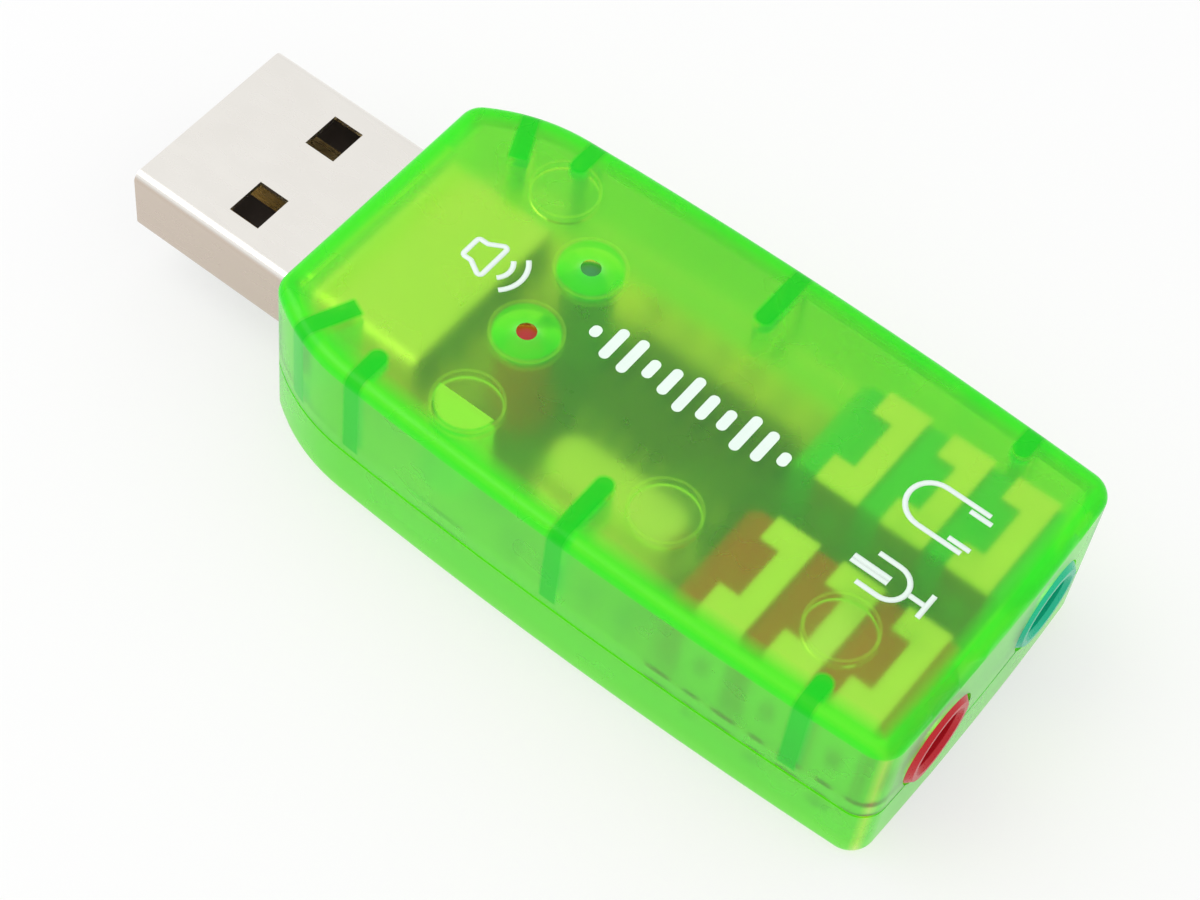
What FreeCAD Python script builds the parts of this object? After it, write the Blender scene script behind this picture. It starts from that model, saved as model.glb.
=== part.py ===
"""A small USB sound adapter: a clear plastic case in two halves round a circuit board.

The board carries a USB plug at one end and two 3.5 mm jacks, for microphone and headphones,
at the other. Lengths are millimetres. The origin is at the middle of the underside, X runs from
the plug's tip to the jacks, Y across the case and Z up.
"""
import FreeCAD
import Part
import math
import os

# Case
BODY_LENGTH = 40.6
BODY_WIDTH = 21.6
BODY_HEIGHT = 11.0
WALL = 1.1
PARTING_HEIGHT = 4.2
FRONT_WIDTH = 15.9
WIDEST_FROM_FRONT = 22.5
SHOULDER_LENGTH = 6.4
SIDE_RADIUS = 300.0
END_RADIUS = 220.0
FRONT_CORNER_RADIUS = 1.45
END_CORNER_RADIUS = 1.45
LEAST_CORNER_RADIUS = 0.45
EDGE_RADIUS = 0.7

# Seam between the halves
RIM_HEIGHT = 0.7
RIM_THICKNESS = 0.5
RIM_CLEARANCE = 0.05
SEAM_GROOVE_DEPTH = 0.15
SEAM_GROOVE_HEIGHT = 0.2

# Ribs, post and ejector marks under the top
RIB_STATIONS = (7.2, 20.6, 35.4)
RIB_REACHES = (1.5, 1.1, 1.1)
RIB_ARM_REACHES = (1.5, 3.4, 1.1)
RIB_ARM_DROP = 2.4
RIB_THICKNESS = 1.1
SHOULDER_RIB_FROM_FRONT = 4.4
SHOULDER_RIB_REACH = 3.2
SHOULDER_RIB_TURN = 24.0
SHOULDER_RIB_DROP = 3.5
ROUND_MARK_RADIUS = 1.9
POST_FROM_FRONT = 12.3
POST_SIDE = -7.4
POST_LENGTH = 4.0
POST_INSET = 0.1
EJECTOR_MARKS = ((POST_FROM_FRONT, POST_SIDE), (23.8, -6.0), (34.3, -5.7), (7.6, 6.6))
EJECTOR_MARK_DEPTH = 0.2

# Lamp holes
LAMP_FROM_FRONT = 11.85
LAMP_SPACING = 5.4
LAMP_PAIR_SIDE = 0.65
LAMP_HOLE_RADIUS = 0.55
LAMP_CONE_RADIUS = 1.85

# USB plug
PLUG_EXPOSED = 11.9
PLUG_LENGTH = 19.5
PLUG_WIDTH = 12.0
PLUG_HEIGHT = 4.5
PLUG_WALL = 0.3
PLUG_CORNER_RADIUS = 0.55
PLUG_APERTURE_CLEARANCE = 0.08
WINDOW_WIDTH = 2.5
WINDOW_LENGTH = 2.0
WINDOW_FROM_TIP = 6.4
WINDOW_SPACING = 6.15
TONGUE_THICKNESS = 1.9
TONGUE_SETBACK = 0.4
MOUTH_DEPTH = 9.1
USB_CONTACT_OFFSETS = (-3.5, -1.0, 1.0, 3.5)
USB_CONTACT_WIDTH = 1.0
USB_CONTACT_THICKNESS = 0.2
USB_CONTACT_SETBACK = 1.6
USB_TAIL_GAP = 0.4
USB_TAIL_FOOT = 1.0

# Circuit board
BOARD_THICKNESS = 1.2
BOARD_FROM_FRONT = 2.4
BOARD_EDGE_CLEARANCE = 0.5
BOARD_BOSS_RADIUS = 1.3
BOARD_BOSS_STATIONS = (8.5, 33.0)
BOARD_BOSS_FROM_BOARD_EDGE = 2.7

# Jacks
JACK_RIB_GAP = 0.1
JACK_TOP_GAP = 0.95
JACK_LENGTH = 12.8
JACK_WIDTH = 6.4
JACK_AXIS_ABOVE_BOARD = 2.75
JACK_WALL_GAP = 0.15
COLLAR_RADIUS = 2.7
COLLAR_ROOT = 0.3
COLLAR_PROUD = 0.15
COLLAR_CLEARANCE = 0.1
COLLAR_CHAMFER = 0.3
JACK_BORE_RADIUS = 1.8
JACK_BORE_MOUTH = 0.25
JACK_BACK_WALL = 1.0
JACK_TOP_CHAMFER = 0.7
CONTACT_COUNT = 3
CONTACT_FIRST = 2.9
CONTACT_PITCH = 4.0
CONTACT_WIDTH = 2.6
CONTACT_THICKNESS = 0.3
CONTACT_FOLD = 0.15
CONTACT_NOTCH_DEPTH = 1.2
CONTACT_NOTCH_LENGTH = 3.4
CONTACT_HOLE_WIDTH = 0.9
CONTACT_HOLE_HEIGHT = 1.7

# Parts on the board
CHIP_LAMP_GAP = 0.7
CHIP_JACK_GAP = 1.7
CHIP_CAPACITOR_GAP = 0.3
CHIP_WIDTH = 5.3
CHIP_HEIGHT = 1.75
CHIP_STANDOFF = 0.1
CHIP_LEADS_A_SIDE = 8
CHIP_LEAD_WIDTH = 0.42
CHIP_LEAD_THICKNESS = 0.18
CHIP_LEAD_SPAN = 7.8
CRYSTAL_LAMP_GAP = 1.4
CRYSTAL_JACK_GAP = 1.4
CRYSTAL_CHIP_GAP = 1.15
CRYSTAL_RESISTOR_GAP = 0.65
CRYSTAL_HEIGHT = 3.5
CRYSTAL_FLANGE = 0.4
CRYSTAL_FLANGE_HEIGHT = 0.5
CRYSTAL_CHAMFER = 0.4
LAMP_RADIUS = 1.5
LAMP_FLANGE_RADIUS = 1.85
LAMP_FLANGE_HEIGHT = 0.9
LAMP_HEIGHT = 4.0
LAMP_STANDOFF = 0.4
LAMP_LEAD_SIZE = 0.5
LAMP_LEAD_SPACING = 2.54
CHIP_PART_LENGTH = 1.6
CHIP_PART_WIDTH = 0.8
CHIP_PART_HEIGHT = 0.75
CHIP_PART_END = 0.35
CHIP_PART_END_GROWTH = 0.03
CAPACITOR_COUNT = 6
CAPACITOR_FROM_FRONT = 13.4
CAPACITOR_JACK_GAP = 1.9
RESISTOR_COUNT = 4
RESISTOR_FROM_FRONT = 16.6
RESISTOR_JACK_GAP = 2.5
CHIP_PART_FROM_BOARD_EDGE = 0.6

# Places worked out from the sizes above
TOTAL_LENGTH = PLUG_EXPOSED + BODY_LENGTH + COLLAR_PROUD
FRONT = PLUG_EXPOSED - TOTAL_LENGTH / 2
END = FRONT + BODY_LENGTH
TIP = FRONT - PLUG_EXPOSED
PLUG_CENTRE_HEIGHT = BODY_HEIGHT / 2
PLUG_BOTTOM = PLUG_CENTRE_HEIGHT - PLUG_HEIGHT / 2
PLUG_TOP = PLUG_CENTRE_HEIGHT + PLUG_HEIGHT / 2
PLUG_BACK = TIP + PLUG_LENGTH
BOARD_TOP = PLUG_BOTTOM
BOARD_BOTTOM = BOARD_TOP - BOARD_THICKNESS
BOARD_HALF_WIDTH = BODY_WIDTH / 2 - WALL - BOARD_EDGE_CLEARANCE
CEILING = BODY_HEIGHT - WALL
JACK_AXIS_HEIGHT = BOARD_TOP + JACK_AXIS_ABOVE_BOARD
JACK_TOP = CEILING - JACK_TOP_GAP - CONTACT_THICKNESS
JACK_SIDE = BODY_WIDTH / 2 - WALL - RIB_REACHES[-1] - JACK_RIB_GAP - CONTACT_THICKNESS - JACK_WIDTH / 2
JACK_FRONT = END - WALL - (BODY_WIDTH / 2) ** 2 / (2 * END_RADIUS) - JACK_WALL_GAP
JACK_BACK = JACK_FRONT - JACK_LENGTH
COLLAR_FRONT = END + COLLAR_PROUD
LAMP_X = FRONT + LAMP_FROM_FRONT
LAMP_BACK = LAMP_X + LAMP_FLANGE_RADIUS
ROW_INNER_SIDE = BOARD_HALF_WIDTH - CHIP_PART_FROM_BOARD_EDGE - CHIP_PART_LENGTH
CHIP_SIDE = ROW_INNER_SIDE - CHIP_CAPACITOR_GAP - CHIP_LEAD_SPAN / 2
CHIP_START = LAMP_BACK + CHIP_LAMP_GAP
CHIP_LENGTH = JACK_BACK - CHIP_JACK_GAP - CHIP_START
CRYSTAL_START = LAMP_BACK + CRYSTAL_LAMP_GAP
CRYSTAL_END = JACK_BACK - CRYSTAL_JACK_GAP
CRYSTAL_NEAR_SIDE = CRYSTAL_RESISTOR_GAP - ROW_INNER_SIDE
CRYSTAL_FAR_SIDE = CHIP_SIDE - CHIP_LEAD_SPAN / 2 - CRYSTAL_CHIP_GAP
OUTSIDE = BODY_WIDTH


def box(x0, x1, y0, y1, z0, z1):
    """A box between two corners."""
    return Part.makeBox(x1 - x0, y1 - y0, z1 - z0, FreeCAD.Vector(x0, y0, z0))


def cylinder(radius, start, direction, length):
    """A round bar from a point along a direction."""
    return Part.makeCylinder(radius, length, FreeCAD.Vector(*start), FreeCAD.Vector(*direction))


def prism(points, direction):
    """A closed polygon pushed along a direction."""
    corners = [FreeCAD.Vector(*p) for p in points]
    return Part.Face(Part.makePolygon(corners + corners[:1])).extrude(FreeCAD.Vector(*direction))


def edges_at_height(shape, z):
    """The edges of a shape that lie flat at one height."""
    return [e for e in shape.Edges if e.BoundBox.ZLength < 1e-6 and abs(e.BoundBox.ZMin - z) < 1e-6]


def far_crossing(centre_a, radius_a, centre_b, radius_b):
    """Where two circles cross, at the crossing with the larger Y."""
    apart = centre_b - centre_a
    distance = apart.Length
    along = (radius_a**2 - radius_b**2 + distance**2) / (2 * distance)
    across = math.sqrt(radius_a**2 - along**2)
    unit = apart * (1 / distance)
    foot = centre_a + unit * along
    crossings = [
        foot + FreeCAD.Vector(-unit.y, unit.x, 0) * across,
        foot - FreeCAD.Vector(-unit.y, unit.x, 0) * across,
    ]
    return max(crossings, key=lambda p: p.y)


def out_from(centre, radius, towards):
    """The point of a circle that lies in the direction of another point."""
    return centre + (towards - centre).normalize() * radius


def between(centre, radius, a, b):
    """The point of a circle halfway between two of its points."""
    return out_from(centre, radius, (a + b) * 0.5)


def slab(inset, bottom, top):
    """The case's outline, drawn in by an inset, between two heights.

    The outline has a straight front, round shoulders, bowed sides and a bowed jack end. Each arc
    runs smoothly into the next.
    """
    side_centre = FreeCAD.Vector(FRONT + WIDEST_FROM_FRONT, BODY_WIDTH / 2 - SIDE_RADIUS, 0)
    side_radius = SIDE_RADIUS - inset
    end_centre = FreeCAD.Vector(END - END_RADIUS, 0, 0)
    end_radius = END_RADIUS - inset

    shoulder_x = FRONT + SHOULDER_LENGTH
    shoulder_rise = math.sqrt(SIDE_RADIUS**2 - (shoulder_x - side_centre.x) ** 2)
    shoulder = FreeCAD.Vector(shoulder_x, side_centre.y + shoulder_rise, 0)
    outward = (shoulder - side_centre).normalize()
    chord = FreeCAD.Vector(FRONT, FRONT_WIDTH / 2, 0) - shoulder
    full_radius = -chord.dot(chord) / (2 * chord.dot(outward))
    shoulder_centre = shoulder - outward * full_radius
    shoulder_radius = full_radius - inset
    shoulder_end = shoulder - outward * inset

    front_turn = max(FRONT_CORNER_RADIUS - inset, LEAST_CORNER_RADIUS)
    front_x = FRONT + inset
    reach = math.sqrt((shoulder_radius - front_turn) ** 2 - (front_x + front_turn - shoulder_centre.x) ** 2)
    front_centre = FreeCAD.Vector(front_x + front_turn, shoulder_centre.y + reach, 0)
    front_start = FreeCAD.Vector(front_x, front_centre.y, 0)
    front_stop = out_from(shoulder_centre, shoulder_radius, front_centre)

    end_turn = max(END_CORNER_RADIUS - inset, LEAST_CORNER_RADIUS)
    corner_centre = far_crossing(side_centre, side_radius - end_turn, end_centre, end_radius - end_turn)
    corner_start = out_from(side_centre, side_radius, corner_centre)
    corner_stop = out_from(end_centre, end_radius, corner_centre)

    def other_side(p):
        return FreeCAD.Vector(p.x, -p.y, 0)

    bends = [
        (front_start, between(front_centre, front_turn, front_start, front_stop), front_stop),
        (front_stop, between(shoulder_centre, shoulder_radius, front_stop, shoulder_end), shoulder_end),
        (shoulder_end, between(side_centre, side_radius, shoulder_end, corner_start), corner_start),
        (corner_start, between(corner_centre, end_turn, corner_start, corner_stop), corner_stop),
    ]
    end_middle = FreeCAD.Vector(END - inset, 0, 0)
    edges = [Part.LineSegment(other_side(front_start), front_start).toShape()]
    edges += [Part.Arc(*bend).toShape() for bend in bends]
    edges.append(Part.Arc(corner_stop, end_middle, other_side(corner_stop)).toShape())
    for a, b, c in reversed(bends):
        edges.append(Part.Arc(other_side(c), other_side(b), other_side(a)).toShape())
    face = Part.Face(Part.Wire(edges))
    face.translate(FreeCAD.Vector(0, 0, bottom))
    return face.extrude(FreeCAD.Vector(0, 0, top - bottom))


def case_outside():
    """The whole outside of the case, with its edges rounded."""
    block = slab(0, 0, BODY_HEIGHT)
    return block.makeFillet(EDGE_RADIUS, edges_at_height(block, 0) + edges_at_height(block, BODY_HEIGHT))


def case_cavity():
    """The hollow inside the case."""
    return slab(WALL, WALL, CEILING)


def jack_sides():
    """The jacks' distances from the middle, microphone first."""
    return (-JACK_SIDE, JACK_SIDE)


def lamp_sides():
    """The lamps' distances from the middle, red first."""
    return (LAMP_PAIR_SIDE - LAMP_SPACING / 2, LAMP_PAIR_SIDE + LAMP_SPACING / 2)


def case_apertures():
    """The openings in the case's ends for the plug and the two jack collars."""
    gap = PLUG_APERTURE_CLEARANCE
    half = PLUG_WIDTH / 2 + gap
    plug = box(TIP, FRONT + 2 * WALL, -half, half, PLUG_BOTTOM - gap, PLUG_TOP + gap)
    plug = plug.makeFillet(PLUG_CORNER_RADIUS, [e for e in plug.Edges if e.BoundBox.XLength > WALL])
    holes = []
    for side in jack_sides():
        start = (JACK_BACK, side, JACK_AXIS_HEIGHT)
        holes.append(cylinder(COLLAR_RADIUS + COLLAR_CLEARANCE, start, (1, 0, 0), OUTSIDE))
    return plug.fuse(holes)


def round_bar(x, tip, sign, low, high):
    """An upright bar across the case from a rounded tip out past one side."""
    r = RIB_THICKNESS / 2
    middle = sign * (tip + r)
    bar = box(x - r, x + r, *sorted((middle, sign * OUTSIDE)), low, high)
    return bar.fuse(cylinder(r, (x, middle, low), (0, 0, 1), high - low)).removeSplitter()


def wall_ribs():
    """The upright ribs inside the long sides, each with an arm along the underside of the top."""
    bottom = PARTING_HEIGHT + RIM_HEIGHT + RIM_CLEARANCE
    high = CEILING + WALL / 2
    inside = slab(WALL / 2, bottom, high)
    wall = BODY_WIDTH / 2 - WALL
    ribs = []
    for station, reach, arm_reach in zip(RIB_STATIONS, RIB_REACHES, RIB_ARM_REACHES):
        x = FRONT + station
        for sign in (-1, 1):
            upright = round_bar(x, wall - reach, sign, bottom, high)
            arm = round_bar(x, wall - arm_reach, sign, CEILING - RIB_ARM_DROP, high)
            ribs.append(inside.common(upright.fuse(arm).removeSplitter()))
    return ribs


def shoulder_ribs():
    """The slanting ribs under the top at the two shoulders."""
    high = CEILING + WALL / 2
    roof = slab(WALL / 2, CEILING - SHOULDER_RIB_DROP, high)
    inner = BODY_WIDTH / 2 - WALL - SHOULDER_RIB_REACH
    x0 = FRONT + SHOULDER_RIB_FROM_FRONT - RIB_THICKNESS / 2
    ribs = []
    for sign in (-1, 1):
        rib = box(x0, x0 + RIB_THICKNESS, *sorted((sign * inner, sign * OUTSIDE)), 0, BODY_HEIGHT)
        pivot = FreeCAD.Vector(x0 + RIB_THICKNESS / 2, sign * inner, 0)
        rib.rotate(pivot, FreeCAD.Vector(0, 0, 1), sign * SHOULDER_RIB_TURN)
        ribs.append(roof.common(rib))
    return ribs


def half_post():
    """The half-round post under the top that stands in one of the round marks."""
    start = (FRONT + POST_FROM_FRONT, POST_SIDE, CEILING - POST_LENGTH)
    post = cylinder(ROUND_MARK_RADIUS - POST_INSET, start, (0, 0, 1), POST_LENGTH + WALL / 2)
    return post.common(box(TIP, END, -OUTSIDE, POST_SIDE, 0, BODY_HEIGHT))


def top_cover(outside, cavity):
    """The upper half: ribs, post and marks inside, and two lamp holes that widen downwards."""
    above = box(TIP, END, -OUTSIDE, OUTSIDE, PARTING_HEIGHT, 2 * BODY_HEIGHT)
    cover = outside.common(above).cut(cavity)
    cover = cover.fuse(wall_ribs() + shoulder_ribs())
    rebate_top = PARTING_HEIGHT + RIM_HEIGHT + RIM_CLEARANCE
    rebate_inset = WALL - RIM_THICKNESS - RIM_CLEARANCE
    cuts = [slab(rebate_inset, PARTING_HEIGHT, rebate_top), case_apertures()]
    groove_top = PARTING_HEIGHT + SEAM_GROOVE_HEIGHT
    groove = slab(0, PARTING_HEIGHT, groove_top)
    cuts.append(groove.cut(slab(SEAM_GROOVE_DEPTH, PARTING_HEIGHT, groove_top)))
    for x, y in EJECTOR_MARKS:
        cuts.append(cylinder(ROUND_MARK_RADIUS, (FRONT + x, y, CEILING), (0, 0, 1), EJECTOR_MARK_DEPTH))
    for side in lamp_sides():
        place = FreeCAD.Vector(LAMP_X, side, CEILING)
        cuts.append(Part.makeCone(LAMP_CONE_RADIUS, LAMP_HOLE_RADIUS, WALL, place))
    for cut in cuts:
        cover = cover.cut(cut)
    return cover.fuse(half_post()).removeSplitter()


def bottom_cover(outside, cavity):
    """The lower half: a rim that locates the top, and bosses that carry the board."""
    below = box(TIP, END, -OUTSIDE, OUTSIDE, -BODY_HEIGHT, PARTING_HEIGHT)
    cover = outside.common(below).cut(cavity)
    rim_top = PARTING_HEIGHT + RIM_HEIGHT
    rim = slab(WALL - RIM_THICKNESS, PARTING_HEIGHT - WALL, rim_top)
    rim = rim.cut(slab(WALL, PARTING_HEIGHT - WALL, rim_top))
    bosses = []
    for station in BOARD_BOSS_STATIONS:
        for sign in (-1, 1):
            start = (FRONT + station, sign * (BOARD_HALF_WIDTH - BOARD_BOSS_FROM_BOARD_EDGE), WALL / 2)
            bosses.append(cylinder(BOARD_BOSS_RADIUS, start, (0, 0, 1), BOARD_BOTTOM - WALL / 2))
    return cover.fuse([rim] + bosses).cut(case_apertures()).removeSplitter()


def circuit_board():
    """The board, which follows the case's outline and stops short of its front wall."""
    board = slab(WALL + BOARD_EDGE_CLEARANCE, BOARD_BOTTOM, BOARD_TOP)
    return board.common(box(FRONT + BOARD_FROM_FRONT, JACK_FRONT, -OUTSIDE, OUTSIDE, 0, BODY_HEIGHT))


def usb_shell():
    """The plug's folded steel shell, open at both ends, with latch windows above and below."""
    half_width, half_height = PLUG_WIDTH / 2, PLUG_HEIGHT / 2
    low, high = PLUG_CENTRE_HEIGHT - half_height, PLUG_CENTRE_HEIGHT + half_height
    outer = box(TIP, PLUG_BACK, -half_width, half_width, low, high)
    outer = outer.makeFillet(PLUG_CORNER_RADIUS, [e for e in outer.Edges if e.BoundBox.XLength > WALL])
    w = PLUG_WALL
    inner = box(TIP, PLUG_BACK, w - half_width, half_width - w, low + w, high - w)
    inner = inner.makeFillet(PLUG_CORNER_RADIUS - w, [e for e in inner.Edges if e.BoundBox.XLength > WALL])
    shell = outer.cut(inner)
    x0 = TIP + WINDOW_FROM_TIP - WINDOW_LENGTH / 2
    for sign in (-1, 1):
        y0 = sign * WINDOW_SPACING / 2 - WINDOW_WIDTH / 2
        shell = shell.cut(box(x0, x0 + WINDOW_LENGTH, y0, y0 + WINDOW_WIDTH, 0, BODY_HEIGHT))
    return shell


def tongue_top():
    """The height of the tongue's upper face, where the contacts lie."""
    return PLUG_BOTTOM + PLUG_WALL + TONGUE_THICKNESS


def usb_contact(side):
    """One plug contact: a strip along the tongue with a tail down to the board."""
    x0 = TIP + USB_CONTACT_SETBACK
    x1 = PLUG_BACK + USB_TAIL_GAP
    t = USB_CONTACT_THICKNESS
    low, high = tongue_top() - t, tongue_top()
    foot_end = x1 + USB_TAIL_FOOT
    points = [
        (x0, low), (x1 - t, low), (x1 - t, BOARD_TOP), (foot_end, BOARD_TOP),
        (foot_end, BOARD_TOP + t), (x1, BOARD_TOP + t), (x1, high), (x0, high),
    ]
    y = side - USB_CONTACT_WIDTH / 2
    return prism([(x, y, z) for x, z in points], (0, USB_CONTACT_WIDTH, 0))


def usb_tongue(contacts):
    """The plug's moulded core: a flat tongue in the mouth and a block behind it."""
    half = PLUG_WIDTH / 2 - PLUG_WALL
    bottom = PLUG_BOTTOM + PLUG_WALL
    block_top = PLUG_TOP - PLUG_WALL
    tongue = box(TIP + TONGUE_SETBACK, PLUG_BACK, -half, half, bottom, tongue_top())
    block = box(TIP + MOUTH_DEPTH, PLUG_BACK, -half, half, bottom, block_top)
    core = tongue.fuse(block).removeSplitter()
    corners = []
    for edge in core.Edges:
        centre = edge.CenterOfMass
        along = edge.BoundBox.YLength < 1e-6 and edge.BoundBox.ZLength < 1e-6
        outer = abs(abs(centre.y) - half) < 1e-6
        if along and outer and (abs(centre.z - bottom) < 1e-6 or abs(centre.z - block_top) < 1e-6):
            corners.append(edge)
    return core.makeChamfer(PLUG_CORNER_RADIUS - PLUG_WALL, corners).cut(contacts)


def jack_housing(side):
    """One jack's moulded body, with a round collar at the front and a bore for a 3.5 mm plug."""
    half = JACK_WIDTH / 2
    body = box(JACK_BACK, JACK_FRONT, side - half, side + half, BOARD_TOP, JACK_TOP)
    back_top = [e for e in edges_at_height(body, JACK_TOP) if e.BoundBox.YLength > half]
    body = body.makeChamfer(JACK_TOP_CHAMFER, [e for e in back_top if e.CenterOfMass.x < JACK_FRONT - half])
    axis = (1, 0, 0)
    start = (JACK_FRONT - JACK_LENGTH / 2, side, JACK_AXIS_HEIGHT)
    collar = cylinder(COLLAR_RADIUS, start, axis, COLLAR_FRONT - start[0])
    rim = [e for e in collar.Edges if abs(e.BoundBox.XMin - COLLAR_FRONT) < 1e-4]
    collar = collar.makeChamfer(COLLAR_CHAMFER, rim)
    collar = collar.common(box(JACK_FRONT - COLLAR_ROOT, COLLAR_FRONT, -OUTSIDE, OUTSIDE, 0, BODY_HEIGHT))
    bore_start = (JACK_BACK + JACK_BACK_WALL, side, JACK_AXIS_HEIGHT)
    bore = cylinder(JACK_BORE_RADIUS, bore_start, axis, OUTSIDE)
    mouth_place = FreeCAD.Vector(COLLAR_FRONT - JACK_BORE_MOUTH, side, JACK_AXIS_HEIGHT)
    mouth_wide = JACK_BORE_RADIUS + JACK_BORE_MOUTH
    mouth = Part.makeCone(JACK_BORE_RADIUS, mouth_wide, JACK_BORE_MOUTH, mouth_place, FreeCAD.Vector(*axis))
    return body.fuse(collar).cut([bore, mouth]).removeSplitter()


def jack_contact(side, station):
    """One jack contact: a strip folded over the housing, notched behind, with a hole in each leg."""
    half = JACK_WIDTH / 2
    t = CONTACT_THICKNESS
    top = JACK_TOP
    x0 = JACK_BACK + station - CONTACT_WIDTH / 2
    x1 = x0 + CONTACT_WIDTH
    strip = box(x0, x1, side - half - t, side + half + t, BOARD_TOP, top + t)
    folds = [e for e in edges_at_height(strip, top + t) if e.BoundBox.XLength > t]
    strip = strip.makeChamfer(CONTACT_FOLD, folds)
    strip = strip.cut(box(x0, x1, side - half, side + half, BOARD_TOP, top))
    notch_half = CONTACT_NOTCH_LENGTH / 2
    notch = box(x0, x0 + CONTACT_NOTCH_DEPTH, side - notch_half, side + notch_half, top, top + 2 * t)
    middle = (x0 + x1) / 2
    hole_low = JACK_AXIS_HEIGHT - CONTACT_HOLE_HEIGHT / 2
    hole_half = CONTACT_HOLE_WIDTH / 2
    hole = box(
        middle - hole_half, middle + hole_half, side - JACK_WIDTH, side + JACK_WIDTH,
        hole_low, hole_low + CONTACT_HOLE_HEIGHT,
    )
    return strip.cut([notch, hole])


def audio_chip():
    """The sound chip: a moulded body with a row of bent leads along each long side."""
    y = CHIP_SIDE
    low = BOARD_TOP + CHIP_STANDOFF
    high = low + CHIP_HEIGHT
    half_width = CHIP_WIDTH / 2
    body = box(CHIP_START, CHIP_START + CHIP_LENGTH, y - half_width, y + half_width, low, high)
    t = CHIP_LEAD_THICKNESS
    middle = (low + high) / 2
    tip = CHIP_LEAD_SPAN / 2
    knee = (half_width + tip) / 2
    profile = [
        (half_width, middle), (knee, middle), (knee, BOARD_TOP + t), (tip, BOARD_TOP + t),
        (tip, BOARD_TOP), (knee - t, BOARD_TOP), (knee - t, middle - t), (half_width, middle - t),
    ]
    pitch = CHIP_LENGTH / CHIP_LEADS_A_SIDE
    leads = []
    for i in range(CHIP_LEADS_A_SIDE):
        lead_x = CHIP_START + (i + 0.5) * pitch - CHIP_LEAD_WIDTH / 2
        for sign in (-1, 1):
            points = [(lead_x, y + sign * across, z) for across, z in profile]
            leads.append(prism(points, (CHIP_LEAD_WIDTH, 0, 0)))
    return body.fuse(leads)


def oval(x, y, length, width, bottom, height):
    """An upright block with half-round ends."""
    r = width / 2
    reach = length / 2 - r
    middle = box(x - reach, x + reach, y - r, y + r, bottom, bottom + height)
    ends = [cylinder(r, (x + sign * reach, y, bottom), (0, 0, 1), height) for sign in (-1, 1)]
    return middle.fuse(ends).removeSplitter()


def crystal_can():
    """The clock crystal: a drawn can with half-round ends on a wider flange."""
    x, y = (CRYSTAL_START + CRYSTAL_END) / 2, (CRYSTAL_NEAR_SIDE + CRYSTAL_FAR_SIDE) / 2
    length, width = CRYSTAL_END - CRYSTAL_START, CRYSTAL_FAR_SIDE - CRYSTAL_NEAR_SIDE
    shrink = 2 * CRYSTAL_FLANGE
    can = oval(x, y, length - shrink, width - shrink, BOARD_TOP, CRYSTAL_HEIGHT)
    can = can.makeChamfer(CRYSTAL_CHAMFER, edges_at_height(can, BOARD_TOP + CRYSTAL_HEIGHT))
    flange = oval(x, y, length, width, BOARD_TOP, CRYSTAL_FLANGE_HEIGHT)
    return can.fuse(flange).removeSplitter()


def lamp(side):
    """One round, flat-topped lamp on two short leads, below a hole in the top."""
    x = LAMP_X
    base = BOARD_TOP + LAMP_STANDOFF
    flange = cylinder(LAMP_FLANGE_RADIUS, (x, side, base), (0, 0, 1), LAMP_FLANGE_HEIGHT)
    lens = cylinder(LAMP_RADIUS, (x, side, base), (0, 0, 1), LAMP_HEIGHT)
    half = LAMP_LEAD_SIZE / 2
    leads = []
    for sign in (-1, 1):
        lead_y = side + sign * LAMP_LEAD_SPACING / 2
        leads.append(box(x - half, x + half, lead_y - half, lead_y + half, BOARD_TOP, base + half))
    return flange.fuse([lens] + leads).removeSplitter()


def chip_part(x, y):
    """One small surface part, lying across the board, with a metal cap on each end."""
    half_length, half_width = CHIP_PART_LENGTH / 2, CHIP_PART_WIDTH / 2
    grow = CHIP_PART_END_GROWTH
    high = BOARD_TOP + CHIP_PART_HEIGHT
    body = box(x - half_width, x + half_width, y - half_length, y + half_length, BOARD_TOP, high)
    caps = []
    for sign in (-1, 1):
        span = sorted((y + sign * (half_length - CHIP_PART_END), y + sign * (half_length + grow)))
        caps.append(box(x - half_width - grow, x + half_width + grow, *span, BOARD_TOP, high + grow))
    return body.fuse(caps)


def row(count, from_front, jack_gap):
    """Even places along the board between the front and the jacks."""
    first = FRONT + from_front
    pitch = (JACK_BACK - jack_gap - first) / (count - 1)
    return [first + i * pitch for i in range(count)]


def build():
    """Every piece by its name."""
    outside = case_outside()
    cavity = case_cavity()
    pieces = {
        "top_cover": top_cover(outside, cavity),
        "bottom_cover": bottom_cover(outside, cavity),
        "circuit_board": circuit_board(),
        "usb_shell": usb_shell(),
        "audio_chip": audio_chip(),
        "crystal_can": crystal_can(),
    }
    contacts = [usb_contact(side) for side in USB_CONTACT_OFFSETS]
    pieces["usb_tongue"] = usb_tongue(contacts)
    for number, contact in enumerate(contacts, 1):
        pieces[f"usb_contact_{number}"] = contact
    for name, side in zip(("mic", "headphone"), jack_sides()):
        pieces[f"{name}_jack_housing"] = jack_housing(side)
        for i in range(CONTACT_COUNT):
            pieces[f"{name}_jack_contact_{i + 1}"] = jack_contact(side, CONTACT_FIRST + i * CONTACT_PITCH)
    for name, side in zip(("red", "green"), lamp_sides()):
        pieces[f"{name}_lamp"] = lamp(side)
    side = ROW_INNER_SIDE + CHIP_PART_LENGTH / 2
    for i, x in enumerate(row(CAPACITOR_COUNT, CAPACITOR_FROM_FRONT, CAPACITOR_JACK_GAP), 1):
        pieces[f"capacitor_{i}"] = chip_part(x, side)
    for i, x in enumerate(row(RESISTOR_COUNT, RESISTOR_FROM_FRONT, RESISTOR_JACK_GAP), 1):
        pieces[f"resistor_{i}"] = chip_part(x, -side)
    return pieces


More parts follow.
